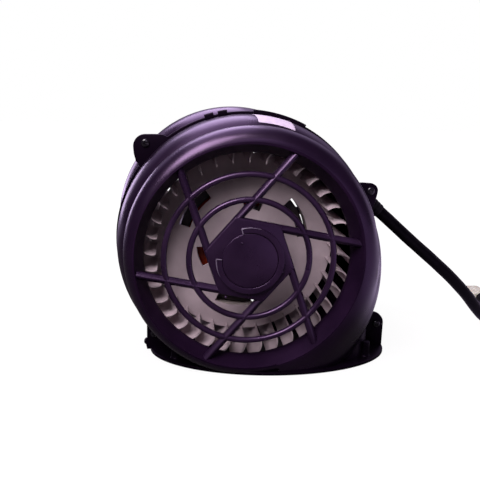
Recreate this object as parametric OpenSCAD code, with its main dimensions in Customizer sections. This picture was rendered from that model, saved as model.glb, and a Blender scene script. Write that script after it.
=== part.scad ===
// Blower unit of a cooker hood. Two plastic half shells form a spiral housing that stands on its
// outlet flange. A double-inlet wheel runs inside on the shaft of a motor that the rear shell carries.
// X points right, Y back and Z up. The origin is the centre of the flange on its underside.

/* [Spiral housing] */
// Height of the wheel's lowest point above the outlet face
wheel_lift = 9; // [7:0.5:12]
// Sideways distance from the flange centre to the fan axis
fan_offset = 29; // [26:1:32]
// Distance from the wheel to the outside of the spiral's main arc
scroll_gap = 20; // [19:0.5:22]
// Sideways shift of the main arc's centre from the fan axis
scroll_shift_x = 0.8; // [0.4:0.2:1.6]
// Upward shift of the main arc's centre from the fan axis
scroll_shift_z = 3.6; // [3:0.2:4.4]
// How much wider than the main arc the arc that leads down to the outlet is
outlet_growth = 17; // [15:1:19]
// Bulge of the outlet arc beyond the main arc at its widest
outlet_bulge = 10.7; // [10:0.1:11.5]
// How far behind the front of the lip the outlet side of the spiral stays
outlet_setback = 5; // [4:0.5:7]
// Radius of the rounded shoulder of the outlet side
outlet_shoulder_r = 42.5; // [41:0.5:45]
// Distance from the main arc's side to the straight side wall of the outlet duct
duct_step = 6.3; // [5:0.1:7.5]
// Radius of the rounded corners of the outlet duct
duct_corner_r = 40; // [38:0.5:41]
// How much smaller than the main arc the radius of the rear shell's fuller upper corner is
crown_cut = 10; // [9:0.5:11]
// Distance of that corner's centre from the fan axis
crown_shift = 22; // [21:0.5:23]
// Depth of each shell from the joint to its flat face
shell_depth = 50; // [49:0.5:51]
// Radius of the rounded shoulder of each shell
shoulder_r = 28; // [26:1:30]
// Wall thickness of the shells
wall = 2.5; // [2.2:0.1:2.8]

/* [Inlet mouth] */
// How far the narrow end of the throat reaches inside the wheel's rim
throat_overlap = 7.5; // [6.5:0.5:9]
// How far the sharp rim at the front of the throat lies outside the wheel's rim
rim_margin = 0.8; // [0:0.2:1.4]
// Distance from the joint to the front of the rounded lip
lip_front = 71; // [70:0.5:72]
// Radius of the rounded lip in section
lip_bead_r = 15; // [14.5:0.5:15.5]
// Shift of the rounded lip from the fan axis towards the upper right
lip_shift = 4; // [3:0.5:5]
// Length of the throat from the rim inwards
throat_length = 18; // [16:1:19]

/* [Inlet grille] */
// Number of slanted spokes
spoke_count = 6; // [5:1:8]
// Angle of the first spoke's outer end
spoke_angle = 8.3; // [0:0.1:20]
// Distance of each spoke's centre line from the fan axis
spoke_offset = 33; // [31:0.5:35]
// Width of a spoke
spoke_w = 7; // [6:0.5:8]
// Outer radius of the small ring
small_ring_r = 57.5; // [54:0.5:62]
// Outer radius of the large ring
large_ring_r = 80; // [76:0.5:84]
// Width of both rings
ring_w = 5.5; // [4.5:0.5:7]
// Thickness of the grille
grille_t = 6; // [5:0.5:7]
// Distance of the grille behind the front of the lip
grille_setback = 2; // [1:0.5:3]
// Outer radius of the raised hub rim
hub_rim_r = 31; // [29:0.5:32]
// Width of the raised hub rim
hub_rim_w = 5.5; // [4.5:0.5:6.5]
// Height of the hub rim above the grille
hub_rim_h = 4; // [2:0.5:6]

/* [Joint rim and ears] */
// Width of the rim that runs along the joint
rim_w = 4.5; // [3.5:0.5:5.5]
// Thickness of the rim and of the ears on each shell
rim_t = 2.4; // [2:0.2:3]
// Radius of the round end of the left upper ear
left_ear_r = 11.5; // [11:0.5:12.5]
// Radius of the round end of the right upper ear
right_ear_r = 7.5; // [7:0.5:8.5]
// Radius of the screw bosses behind the ears
ear_boss_r = 5.5; // [5:0.5:6.5]
// Length of the screw bosses behind the ears
ear_boss_l = 12; // [11:1:14]
// Shank radius of the housing screws
screw_r = 2; // [1.8:0.1:2.2]
// Head radius of the housing screws
screw_head_r = 4; // [3.6:0.1:4.4]
// Shank length of the housing screws
screw_l = 10; // [9:0.5:10.5]

/* [Outlet flange] */
// Half length of the oval flange
flange_half_x = 121; // [119:0.5:124]
// Half depth of the oval flange
flange_half_y = 70; // [69:0.5:73]
// Half depth of the clear way through the flange
mouth_half_y = 41; // [40:0.5:42]
// Thickness of the flange
flange_t = 3; // [2.5:0.1:3.5]
// Half distance between the flange holes along X
hole_half_x = 95; // [93.5:0.5:96.5]
// Half distance between the flange holes along Y
hole_half_y = 30; // [27:1:34]
// Radius of the pilot holes in the flange
hole_r = 1.7; // [1.5:0.1:2]
// Depth of the pilot holes in the flange
hole_depth = 9; // [8:0.5:10]
// Radius of the bosses over the flange holes
flange_boss_r = 4.5; // [4:0.5:5]
// Height of the bosses over the flange holes
flange_boss_h = 18; // [15:0.5:20]

/* [Wheel] */
// Outer radius of the wheel
wheel_r = 103; // [102:0.5:104]
// Radial depth of the blades
blade_depth = 18; // [16.5:0.5:19]
// Half length of the wheel along its axis
wheel_half_l = 50; // [48:0.5:50.5]
// Number of blades
blade_count = 36; // [30:1:40]
// Thickness of a blade
blade_t = 1.2; // [1:0.1:1.5]
// Radius of the blade's curve as a share of its depth
blade_curl = 0.778; // [0.75:0.01:0.8]
// Radial width of the two end bands
band_w = 4; // [3:0.5:5]
// Length of the two end bands along the axis
band_l = 4; // [3:0.5:6]
// Thickness of the dish between the two blade rows
dish_t = 3; // [2.5:0.5:4]
// Forward bulge of the dish at its hub
dish_bulge = 8; // [6:0.5:10]
// Radius at which the dish turns level
dish_level_r = 57; // [55:0.5:60]
// How far the dish reaches out between the blades
dish_reach = 5; // [4:0.5:8]
// Length of the lips behind the outer windows of the dish
window_lip_l = 14; // [12:0.5:16]
// Thickness of those lips
window_lip_t = 1.2; // [1:0.1:1.5]
// Outer radius of the hub sleeve on the dish
hub_sleeve_r = 15; // [14:0.5:17]
// Length of the hub sleeve
hub_sleeve_l = 18; // [17:0.5:20]

/* [Motor] */
// Radius of the motor shaft
shaft_r = 4; // [3.5:0.5:4.5]
// Outer radius of the stator core
core_r = 64; // [62:0.5:65]
// Length of the stator core
core_l = 26; // [24:1:27]
// Radius of the stator bore
bore_r = 34; // [32:0.5:35]
// Air gap between rotor and stator
air_gap = 0.5; // [0.4:0.05:0.8]
// Wall thickness of the motor brackets
bracket_t = 2.5; // [2:0.1:3]
// Length of the winding heads on each side of the core
winding_l = 8; // [6:0.5:9]
// Distance of the motor behind the middle of the wheel
motor_start = 9; // [8.5:0.5:10]
// Outer radius of the bearings
bearing_r = 11; // [10.5:0.5:12]
// Length of the bearings
bearing_l = 7; // [6:0.5:8]
// Radius of the circle of the three motor mounting screws
mount_circle_r = 22; // [21:0.5:23]
// Outer radius of the rubber dampers
damper_r = 6; // [5.5:0.5:7]

/* [Lead] */
// Diameter of the sleeved lead
lead_d = 13; // [12:0.5:14]
// Radius of the collar of the cable gland
gland_collar_r = 9; // [8.5:0.5:10]
// Length of the gland collar
gland_collar_l = 4; // [3:0.5:5]

/* [Hidden] */
$fn = 96;

// Running and fitting clearances
run_gap = 0.05;
fit_gap = 0.1;
free_gap = 0.3;

// Wheel and inlet
fan_height = wheel_r + wheel_lift;
blade_inner_r = wheel_r - blade_depth;
blade_curve_r = blade_curl * blade_depth;
throat_r = wheel_r - throat_overlap;
rim_r = wheel_r + rim_margin;

// The spiral is a main arc, off centre to the fan, and a wider and deeper arc on the outlet side
scroll_r = wheel_r + scroll_gap;
outlet_arc_r = scroll_r + outlet_growth;
duct_side = scroll_r + duct_step;
crown_r = scroll_r - crown_cut;
main_centre = [scroll_shift_x, scroll_shift_z];
outlet_drop = 23;
outlet_centre = [scroll_shift_x + scroll_r + outlet_bulge - outlet_arc_r, -outlet_drop];
outlet_depth = lip_front - outlet_setback;
outlet_from = -71;
outlet_to = 60;
floor_z = -fan_height;
far = 4 * scroll_r;

crown_angle = 118;
crown_centre = crown_shift * [cos(crown_angle), sin(crown_angle)];

// Upper ears as angle round the main arc, distance of the screw from it and end radius
upper_ears = [[136, left_ear_r + 0.4, left_ear_r, -1, 3.3], [21.9, right_ear_r + 5, right_ear_r, 1, 0]];
function ear_point(e) = main_centre + (scroll_r + e[1]) * [cos(e[0]), sin(e[0])];
low_ear_margin = 7.5;
low_ear_round = 11.4;
low_right_ear = [scroll_shift_x + scroll_r + outlet_bulge + 8, floor_z + 26];
low_left_ear = main_centre + (scroll_r + 9.7) * [cos(228), sin(228)];
ear_points = concat([for (e = upper_ears) ear_point(e)], [low_right_ear, low_left_ear]);
rim_start = 63.5;
rim_end = 188;

// Grille levels, measured from the joint towards the mouth
grille_front = lip_front - grille_setback;
grille_back = grille_front - grille_t;
hexagon_flat = spoke_offset + spoke_w / 2;
spoke_turn = 360 / spoke_count;
spoke_lean = acos(spoke_offset / (rim_r - wall / 2));
lip_centre_r = rim_r - 1.6;
lip_centre = lip_shift * [cos(30), sin(30)];

// Motor stations along the axis, towards the rear
core_start = motor_start + bracket_t + winding_l + 1;
core_end = core_start + core_l;
motor_end = core_end + winding_l + 1 + bracket_t;
bolt_circle_r = core_r - 4;
bolt_r = 2;
front_bearing_start = motor_start + bracket_t;
rear_bearing_start = motor_end - bracket_t - bearing_l;
rotor_r = bore_r - air_gap;
shaft_front = -dish_bulge - 16;
shaft_end = rear_bearing_start + bearing_l - 0.5;
nut_r = 7;
nut_l = 5;
insert_r = hub_sleeve_r - 5;
mount_screw_r = 1.8;

// Lead from the gland in the side of the rear shell to the connector on the floor
lead_r = lead_d / 2;
gland_tilt = 39;
gland_angle = 28;
gland_depth = 25;
gland_neck_r = lead_r + 0.9;
gland_neck_l = 9;
gland_seat = outlet_centre + (outlet_arc_r + 6.5) * [cos(gland_angle), sin(gland_angle)];
gland_at = [gland_seat[0] - fan_offset, gland_depth, gland_seat[1] + fan_height];
gland_way = [cos(gland_tilt), 0, -sin(gland_tilt)];
lead_start = gland_at + gland_collar_l * gland_way;
lead_floor = lead_r + 0.5;
lead_route = concat([lead_start, lead_start + 12 * gland_way, lead_start + 30 * gland_way], [[152, 25, 110],
    [178, 26, 89], [203, 29, 68], [225, 34, 47], [243, 42, 27], [258, 52, 13], [272, 65, 7.5],
    [283, 82, lead_floor], [290, 101, lead_floor], [294.6, 118, lead_floor], [296, 129, lead_floor],
    [296, 140, lead_floor]]);
lead_sides = 10;
connector_l = 34;
connector_w = 22;
connector_h = 13;

module on_axis() { translate([-fan_offset, 0, fan_height]) children(); }

// Plate of thickness t drawn in X and Z, with its rear face at y
module slab(y, t) { translate([0, y, 0]) rotate([90, 0, 0]) linear_extrude(t) children(); }

// Half section turned round the fan axis, drawn in radius and forward distance from y
module turned(y) { translate([0, y, 0]) rotate([90, 0, 0]) rotate_extrude() children(); }

// Part of a turned section between two angles round a centre off the axis
module turned_part(centre, from, to) {
    translate([centre[0], 0, centre[1]]) rotate([90, 0, 0]) rotate([0, 0, from])
        rotate_extrude(angle = to - from) children();
}

// Round bar or sleeve along the axis, from y to the rear
module bar(y, l, r) { translate([0, y + l, 0]) rotate([90, 0, 0]) cylinder(h = l, r = r); }

module ring_2d(outer, inner) { difference() { circle(outer); circle(inner); } }

// Slice of a ring between two angles less than half a turn apart
module ring_slice(outer, inner, from, to) {
    far = outer / cos((to - from) / 2) + 1;
    intersection() {
        ring_2d(outer, inner);
        polygon([[0, 0], [far * cos(from), far * sin(from)], [far * cos(to), far * sin(to)]]);
    }
}

// Half section of the spiral wall: straight side, round shoulder, flat face
module wall_section(r, depth, round_r) {
    intersection() {
        square([r, depth]);
        union() {
            square([r - round_r, depth]);
            square([r, depth - round_r]);
            translate([r - round_r, depth - round_r]) circle(round_r);
        }
    }
}

// Filled front half of the spiral, drawn smaller all round by the inset
module scroll(inset, crown) {
    depth = shell_depth - inset;
    turned_part(main_centre, 0, 360) wall_section(scroll_r - inset, depth, shoulder_r - inset);
    turned_part(outlet_centre, outlet_from + asin(inset / throat_r), outlet_to)
        wall_section(outlet_arc_r - inset, outlet_depth - inset, outlet_shoulder_r - inset);
    outlet_duct(inset);
    if (crown) turned_part(crown_centre, 60, 185)
        wall_section(crown_r - inset, depth, shoulder_r - 2.5 - inset);
}

// Straight end of the spiral above the flange, with wide round corners
module outlet_duct(inset) {
    side = duct_side - inset;
    depth = shell_depth - 4 - inset;
    corner = duct_corner_r - inset;
    rise = 72;
    translate([0, 0, floor_z - 1]) linear_extrude(rise) intersection() {
        translate([20, -depth]) square([side - 20, depth]);
        union() {
            translate([20, -depth]) square([side - corner - 20, depth]);
            translate([20, corner - depth]) square([side - 20, depth - corner]);
            translate([side - corner, corner - depth]) circle(corner);
        }
    }
}

module lip_bead(inset) {
    turned_part(lip_centre, 0, 360) translate([lip_centre_r, lip_front - lip_bead_r])
        circle(lip_bead_r - inset);
}

module throat_hole() {
    flare = (rim_r - throat_r) / throat_length;
    clear_r = throat_r + wall + 0.5;
    throat_end = lip_front - throat_length;
    turned(0) polygon([[0, 40], [clear_r, 40], [clear_r, throat_end], [throat_r, throat_end],
        [rim_r + 4 * flare, lip_front + 4], [0, lip_front + 4]]);
}

// Conical wall of the throat, from the rim inwards
module throat_wall() {
    turned(0) polygon([[throat_r, lip_front - throat_length], [rim_r, lip_front - 0.1],
        [rim_r + wall, lip_front - 1], [throat_r + wall, lip_front - throat_length]]);
}

// Clear way through the foot of the spiral into the duct
module mouth_cut() {
    translate([-22, -mouth_half_y, floor_z - 1]) cube([60, 2 * mouth_half_y, 8.5]);
}

module above_floor() { translate([-far, -far, floor_z]) cube(2 * far); }

// Ear with a round outer corner, a nearly level top and a nearly upright outer side
module ear_2d(e) {
    c = ear_point(e) - [0, e[4]];
    r = e[2];
    s = e[3];
    translate(c) circle(r);
    polygon([c + [0, r - 0.1], c + [-s * 16, r + 0.6], c + [-s * 26, r - 6], c + [-s * 26, -24], c + [-s * 4, -22],
        c + [s * (r - 2.5), -14], c + [s * (r - 0.1), 0]]);
}

// Upright webs that tie the two lower ears to the flange
module low_ears_2d() {
    right = low_right_ear[0] + low_ear_margin;
    top = low_right_ear[1] + 12.3;
    web_x = low_right_ear[0] - 40;
    left = low_left_ear[0] - low_ear_margin;
    left_top = low_left_ear[1] + 15;
    translate([right - low_ear_round, top - low_ear_round]) circle(low_ear_round);
    translate([web_x, floor_z]) square([right - web_x, top - low_ear_round - floor_z]);
    translate([web_x, top - low_ear_round - 1]) square([right - low_ear_round - web_x, low_ear_round + 1]);
    translate([left, low_left_ear[1] - 9]) circle(3);
    polygon([[left, floor_z], [left, left_top - 4], [left + 4, left_top], [left + 30, left_top],
        [left + 68, floor_z]]);
}

module flange_2d() {
    polygon([for (a = [0:3:357]) [flange_half_x * cos(a) + fan_offset, flange_half_y * sin(a)]]);
}

// Rim along the joint, with the ears and the front half of the flange and its bosses
module joint_rim() {
    turned_part(main_centre, rim_start, rim_end) translate([scroll_r - wall, 0]) square([wall + rim_w, rim_t]);
    turned_part(main_centre, rim_start, rim_start + 24) translate([scroll_r - wall, 0])
        square([wall + rim_w, 2 * rim_t]);
    slab(0, rim_t) for (e = upper_ears) ear_2d(e);
    slab(0, rim_t) low_ears_2d();
    translate([0, 0, floor_z]) linear_extrude(flange_t) intersection() {
        flange_2d();
        translate([-far, -far]) square([2 * far, far]);
    }
    for (s = [-1, 1]) translate([fan_offset + s * hole_half_x, -hole_half_y, floor_z])
        cylinder(h = flange_boss_h, r = flange_boss_r);
}

module flange_holes() {
    for (s = [-1, 1]) translate([fan_offset + s * hole_half_x, -hole_half_y, floor_z - 1])
        cylinder(h = hole_depth + 1, r = hole_r);
}

// Slanted spokes round a six-sided hub, with two rings
module grille_2d() {
    for (r = [small_ring_r, large_ring_r]) ring_2d(r, r - ring_w);
    half_side = hexagon_flat * tan(spoke_turn / 2);
    spoke_l = (rim_r - wall / 2) * sin(spoke_lean);
    for (k = [0:spoke_count - 1]) rotate(spoke_angle + spoke_lean - 90 + k * spoke_turn)
        translate([3 - half_side, spoke_offset - spoke_w / 2]) square([half_side - 3 + spoke_l, spoke_w]);
    rotate(spoke_angle + spoke_lean - spoke_turn / 2)
        circle((hexagon_flat - 0.5) / cos(spoke_turn / 2), $fn = spoke_count);
}

module grille() {
    slab(-grille_back, grille_t) grille_2d();
    slab(-grille_front + 1, hub_rim_h + 1) difference() {
        ring_2d(hub_rim_r, hub_rim_r - hub_rim_w);
        polygon([[0, 0], 60 * [cos(106), sin(106)], 60 * [cos(141), sin(141)], 60 * [cos(177), sin(177)]]);
    }
    slab(-grille_front + 1, hub_rim_h / 2 + 1) circle(hub_rim_r - hub_rim_w - 1.5);
}

// One half shell with its mouth and grille, as the front one lies
module half_shell(crown) {
    intersection() {
        difference() {
            union() { scroll(0, crown); lip_bead(0); }
            scroll(wall, crown);
            lip_bead(wall);
            throat_hole();
            mouth_cut();
        }
        above_floor();
    }
    difference() {
        joint_rim();
        scroll(wall, crown);
        mouth_cut();
        flange_holes();
    }
    throat_wall();
    grille();
}

// Two snap hooks on top of the joint rim
module snap_hooks() {
    hook_r = scroll_r + rim_w + 1.6;
    slab(0, 2 * rim_t) translate(main_centre) for (a = [101, 107]) ring_slice(hook_r, scroll_r - 1, a - 2, a + 2);
}

module front_shell() {
    color("#3a3340") on_axis() difference() {
        union() {
            half_shell(false);
            snap_hooks();
        }
        for (p = ear_points) translate([p[0], 0, p[1]]) bar(-20, 30, screw_r + fit_gap);
    }
}

module gland_frame() { translate(gland_at) rotate([0, 90 + gland_tilt, 0]) children(); }

module mount_places() {
    for (k = [0:2]) rotate([0, -117 - 120 * k, 0]) translate([mount_circle_r, 0, 0]) children();
}

// Short tube on the side of the rear shell that holds the gland
module lead_spout() {
    difference() {
        translate([fan_offset, 0, -fan_height]) gland_frame() translate([0, 0, -34]) cylinder(h = 34, r = gland_neck_r + 2);
        mirror([0, 1, 0]) scroll(wall, true);
    }
}

module rear_shell() {
    color("#342d3a") difference() {
        on_axis() union() {
            mirror([0, 1, 0]) half_shell(true);
            for (p = ear_points) translate([p[0], 0, p[1]]) bar(0, ear_boss_l, ear_boss_r);
            lead_spout();
        }
        on_axis() for (p = ear_points) translate([p[0], 0, p[1]]) bar(-1, screw_l + 1.5, screw_r + fit_gap);
        on_axis() mount_places() bar(grille_back - 20, 60, mount_screw_r + fit_gap);
        gland_frame() translate([0, 0, -30]) cylinder(h = 60, r = gland_neck_r + fit_gap);
        gland_frame() cylinder(h = 30, r = gland_collar_r + free_gap);
    }
}

module screw(l, r, head_r, head_h) {
    rotate([-90, 0, 0]) {
        cylinder(h = l, r = r);
        difference() {
            translate([0, 0, -head_h]) cylinder(h = head_h, r = head_r);
            translate([-head_r * 0.6, -0.5, -head_h - 1]) cube([head_r * 1.2, 1, 1.8]);
            translate([-0.5, -head_r * 0.6, -head_h - 1]) cube([1, head_r * 1.2, 1.8]);
        }
    }
}

module shell_screws() {
    color("#b9b9bd") on_axis() for (p = ear_points) translate([p[0], -rim_t, p[1]])
        screw(screw_l + rim_t - 1, screw_r, screw_head_r, 2.4);
}

// Forward-curved blade in section: a short arc from the inner edge to the tip, leaning into the turn
module blade_2d() {
    tip = wheel_r - 0.6;
    reach = tip - blade_inner_r;
    intersection() {
        ring_2d(tip, blade_inner_r);
        translate([blade_inner_r + 0.14 * reach, -blade_curve_r * 0.965])
            ring_2d(blade_curve_r + blade_t / 2, blade_curve_r - blade_t / 2);
        translate([blade_inner_r - 1, -blade_curve_r]) square([reach + 2, 2 * blade_curve_r]);
    }
}

module impeller() {
    color("#d8cfc6") on_axis() {
        slab(wheel_half_l, 2 * wheel_half_l) for (k = [0:blade_count - 1])
            rotate(k * 360 / blade_count) blade_2d();
        for (y = [-wheel_half_l + band_l, wheel_half_l]) slab(y, band_l) ring_2d(wheel_r, wheel_r - band_w);
        difference() {
            union() {
                slab(dish_t / 2, dish_t) ring_2d(blade_inner_r + dish_reach, dish_level_r - 1);
                turned(0) polygon([[hub_sleeve_r - 1, dish_bulge], [dish_level_r, -dish_t / 2],
                    [dish_level_r, dish_t / 2], [hub_sleeve_r - 1, dish_bulge + dish_t]]);
                turned(0) translate([insert_r, dish_bulge + dish_t + 2 - hub_sleeve_l])
                    square([hub_sleeve_r - insert_r, hub_sleeve_l]);
            }
            slab(20, 40) for (a = [25, 145, 265])
                ring_slice(dish_level_r + 9, dish_level_r - 2, a - 19, a + 19);
            slab(20, 40) for (a = [78, 198, 318])
                ring_slice(dish_level_r - 10.5, dish_level_r - 21, a - 13, a + 13);
        }
        slab(window_lip_l, window_lip_l + dish_t / 4) for (a = [25, 145, 265])
            ring_slice(dish_level_r + 9.4 + window_lip_t, dish_level_r + 9.4, a - 18, a + 18);
    }
}

module impeller_hub() {
    front = dish_bulge + dish_t + 2;
    color("#b08d57") on_axis() turned(0) {
        translate([shaft_r + run_gap, front - hub_sleeve_l - 1])
            square([insert_r - shaft_r - run_gap, hub_sleeve_l + 1]);
        translate([shaft_r + run_gap, front]) square([nut_r + 1 - shaft_r - run_gap, 1.2]);
    }
}

module hub_nut() {
    start = dish_bulge + dish_t + 2 + 1.2;
    color("#c8c8cc") on_axis() slab(-start, nut_l) difference() {
        circle(nut_r, $fn = 6);
        circle(shaft_r + run_gap, $fn = 48);
    }
}

module shaft() {
    color("#d0d0d4") on_axis() bar(shaft_front, shaft_end - shaft_front, shaft_r);
}

module rotor_core() {
    color("#7d7f86") on_axis() turned(core_end) translate([shaft_r + run_gap, 0])
        square([rotor_r - shaft_r - run_gap, core_l]);
}

// Cast end rings of the rotor with their short cooling fins
module rotor_cage() {
    ring_l = 4;
    fin_l = 3;
    color("#b4b6ba") on_axis() for (side = [0, 1]) {
        y = side == 0 ? core_start : core_end + ring_l;
        fin_y = side == 0 ? core_start - ring_l : core_end + ring_l + fin_l;
        slab(y, ring_l) ring_2d(rotor_r - 0.5, rotor_r - 9);
        slab(fin_y, fin_l) for (k = [0:7]) rotate(45 * k) translate([rotor_r - 8, -1]) square([6, 2]);
    }
}

module shaft_clips() {
    clip_t = 1;
    color("#9a9ca2") on_axis() for (y = [front_bearing_start + bearing_l + clip_t + free_gap, rear_bearing_start - free_gap])
        slab(y, clip_t) difference() {
            circle(shaft_r + 2.5);
            circle(shaft_r + run_gap);
            translate([0, -0.75]) square([shaft_r + 4, 1.5]);
        }
}

// Stack of laminations with winding slots round the bore
module stator_core() {
    slots = 24;
    color("#8d8f95") on_axis() slab(core_end, core_l) difference() {
        circle(core_r);
        circle(bore_r);
        for (k = [0:slots - 1]) rotate(k * 360 / slots) {
            translate([bore_r + 1.5, -2]) square([9, 4]);
            translate([bore_r - 1, -0.7]) square([3, 1.4]);
        }
        for (k = [0:2]) rotate(57 + 120 * k) translate([bolt_circle_r, 0]) circle(bolt_r + fit_gap);
    }
}

module stator_windings() {
    inner = bore_r + 2;
    outer = bolt_circle_r - bolt_r - 2;
    head = winding_l - 1;
    color("#b5562a") on_axis() for (y = [core_start, core_end + winding_l]) turned(y) {
        translate([inner, y == core_start ? 0 : 1]) square([outer - inner, head]);
    }
}

// Open front bracket: a bearing cup on three arms inside a ring
module motor_front_bracket() {
    seat = bearing_r + fit_gap;
    color("#55575d") on_axis() difference() {
        union() {
            slab(motor_start + bracket_t, bracket_t) {
                ring_2d(core_r, core_r - 8);
                ring_2d(bearing_r + 4, shaft_r + 1);
                for (k = [0:2]) rotate(57 + 120 * k) translate([bearing_r, -6]) square([core_r - bearing_r - 3, 12]);
            }
            slab(core_start, core_start - motor_start) ring_2d(core_r, core_r - bracket_t);
            slab(front_bearing_start + bearing_l, bearing_l + 0.5) ring_2d(bearing_r + 3, seat);
            for (k = [0:2]) rotate([0, -57 - 120 * k, 0]) translate([bolt_circle_r, 0, 0])
                bar(motor_start, core_start - motor_start - 0.5, bolt_r + 1.6);
        }
        for (k = [0:2]) rotate([0, -57 - 120 * k, 0]) translate([bolt_circle_r, 0, 0])
            bar(motor_start - 1, 30, bolt_r + fit_gap);
    }
}

// Closed rear bracket with vents, tapped for the mounting screws
module motor_rear_bracket() {
    seat = bearing_r + fit_gap;
    color("#4f5157") on_axis() difference() {
        union() {
            slab(motor_end, bracket_t) circle(core_r);
            slab(motor_end, motor_end - core_end) ring_2d(core_r, core_r - bracket_t);
            slab(motor_end - 1, bearing_l + bracket_t - 1) ring_2d(bearing_r + 3, seat);
            for (k = [0:2]) rotate([0, -57 - 120 * k, 0]) translate([bolt_circle_r, 0, 0])
                bar(core_end + 0.5, motor_end - core_end - 0.5, bolt_r + 1.6);
        }
        for (k = [0:2]) rotate([0, -57 - 120 * k, 0]) translate([bolt_circle_r, 0, 0])
            bar(core_end - 1, 30, bolt_r + fit_gap);
        mount_places() bar(motor_end - 20, 30, mount_screw_r + fit_gap);
        slab(motor_end + 1, bracket_t + 2) for (a = [0:60:300]) ring_slice(44, 32, a + 8, a + 36);
    }
}

module motor_bolts() {
    color("#c0c0c4") on_axis() for (k = [0:2]) rotate([0, -57 - 120 * k, 0])
        translate([bolt_circle_r, motor_start, 0]) {
            screw(motor_end - motor_start + 3, bolt_r, bolt_r + 1.4, 2);
            bar(motor_end - motor_start, 2.4, bolt_r + 1.4);
        }
}

module bearing(y) {
    turned(y + bearing_l) {
        translate([shaft_r + run_gap, 0]) square([2, bearing_l]);
        translate([shaft_r + 2, 1]) square([bearing_r - shaft_r - 4, bearing_l - 2]);
        translate([bearing_r - 2, 0]) square([2, bearing_l]);
    }
}

module front_bearing() { color("#aeb0b6") on_axis() bearing(front_bearing_start); }

module rear_bearing() { color("#a6a8ae") on_axis() bearing(rear_bearing_start); }

module motor_dampers() {
    color("#1d1b20") on_axis() mount_places() difference() {
        bar(motor_end, grille_back - motor_end, damper_r);
        bar(motor_end - 1, grille_back, mount_screw_r + fit_gap);
    }
}

module motor_mount_screws() {
    seat = grille_front + hub_rim_h / 2;
    length = seat - motor_end + bracket_t;
    color("#b9b9bd") on_axis() mount_places() translate([0, seat, 0]) rotate([0, 0, 180])
        screw(length, mount_screw_r, 3.2, 1.8);
}

module cable_gland() {
    color("#141216") gland_frame() difference() {
        union() {
            translate([0, 0, -gland_neck_l]) cylinder(h = gland_neck_l + 1, r = gland_neck_r);
            cylinder(h = gland_collar_l, r = gland_collar_r);
        }
        translate([0, 0, -30]) cylinder(h = 60, r = lead_r - 2);
    }
}

function unit(v) = v / norm(v);
function along(p, i) = unit(p[min(i + 1, len(p) - 1)] - p[max(i - 1, 0)]);
function across(d) = unit(cross(d, [0, 1, 0.2]));

// Plain tube along the route, one ring of points at each of the route's points
module tube(p, r, sides) {
    rings = len(p);
    points = [for (i = [0:rings - 1]) let (d = along(p, i), a = across(d), b = cross(d, a))
        for (k = [0:sides - 1]) p[i] + r * (cos(360 * k / sides) * a + sin(360 * k / sides) * b)];
    walls = [for (i = [0:rings - 2]) for (k = [0:sides - 1]) let (n = (k + 1) % sides)
        [i * sides + k, (i + 1) * sides + k, (i + 1) * sides + n, i * sides + n]];
    start = [for (k = [0:sides - 1]) k];
    end = [for (k = [sides - 1:-1:0]) (rings - 1) * sides + k];
    polyhedron(points, concat(walls, [start, end]));
}

module motor_lead() { color("#0d0c10") tube(lead_route, lead_r, lead_sides); }

module lead_connector() {
    tip = lead_route[len(lead_route) - 1];
    color("#d9d4cc") translate([tip[0] - connector_w / 2, tip[1], 0.5]) difference() {
        cube([connector_w, connector_l, connector_h]);
        for (i = [0:2]) translate([2 + i * 6.5, connector_l - 12, 3]) cube([5, 14, 7]);
    }
}

front_shell();
rear_shell();
shell_screws();
impeller();
impeller_hub();
hub_nut();
shaft();
rotor_core();
rotor_cage();
shaft_clips();
stator_core();
stator_windings();
motor_front_bracket();
motor_rear_bracket();
motor_bolts();
front_bearing();
rear_bearing();
motor_dampers();
motor_mount_screws();
cable_gland();
motor_lead();
lead_connector();
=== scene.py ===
import bmesh
import bpy
import numpy as np
from mathutils import Matrix


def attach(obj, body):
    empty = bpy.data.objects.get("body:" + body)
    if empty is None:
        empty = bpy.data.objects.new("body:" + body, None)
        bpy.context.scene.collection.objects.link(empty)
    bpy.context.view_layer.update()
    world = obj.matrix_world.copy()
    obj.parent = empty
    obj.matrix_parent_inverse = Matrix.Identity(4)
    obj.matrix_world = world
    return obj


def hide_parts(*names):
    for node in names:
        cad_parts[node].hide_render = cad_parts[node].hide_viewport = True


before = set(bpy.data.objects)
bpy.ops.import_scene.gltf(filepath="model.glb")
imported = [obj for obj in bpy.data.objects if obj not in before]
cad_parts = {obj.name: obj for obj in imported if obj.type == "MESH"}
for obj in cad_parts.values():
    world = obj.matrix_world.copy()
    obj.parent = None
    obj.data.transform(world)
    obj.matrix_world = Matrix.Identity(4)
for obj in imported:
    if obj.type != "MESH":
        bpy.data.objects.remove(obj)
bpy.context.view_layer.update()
bpy.context.scene.view_settings.view_transform = "Standard"


# Camera. It stands in front of the blower, a little to the left and above the fan axis, about 0.65 m
# away. All shapes below are drawn in millimetres from the point on the fan axis where the shells meet.
fan_middle = np.array([-0.029, 0.0, 0.112])
swing, lift, lean = np.radians([-5.5, 13.1, 1.6])
far_off, shift_across, shift_up = 0.651, -0.0028, 0.0025
back = np.array([np.sin(swing) * np.cos(lift), -np.cos(swing) * np.cos(lift), np.sin(lift)])
level = np.array([np.cos(swing), np.sin(swing), 0.0])
upright = np.cross(back, level)
across = np.cos(lean) * level + np.sin(lean) * upright
upward = np.cos(lean) * upright - np.sin(lean) * level
stand = fan_middle + far_off * back + shift_across * across + shift_up * upward
lens = bpy.data.cameras.new("lens")
lens.lens = 48.75
lens.sensor_width = 36.0
camera = bpy.data.objects.new("camera", lens)
camera.matrix_world = Matrix(np.column_stack([across, upward, back, stand]).tolist() + [[0, 0, 0, 1]])
bpy.context.scene.collection.objects.link(camera)
bpy.context.scene.camera = camera


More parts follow.
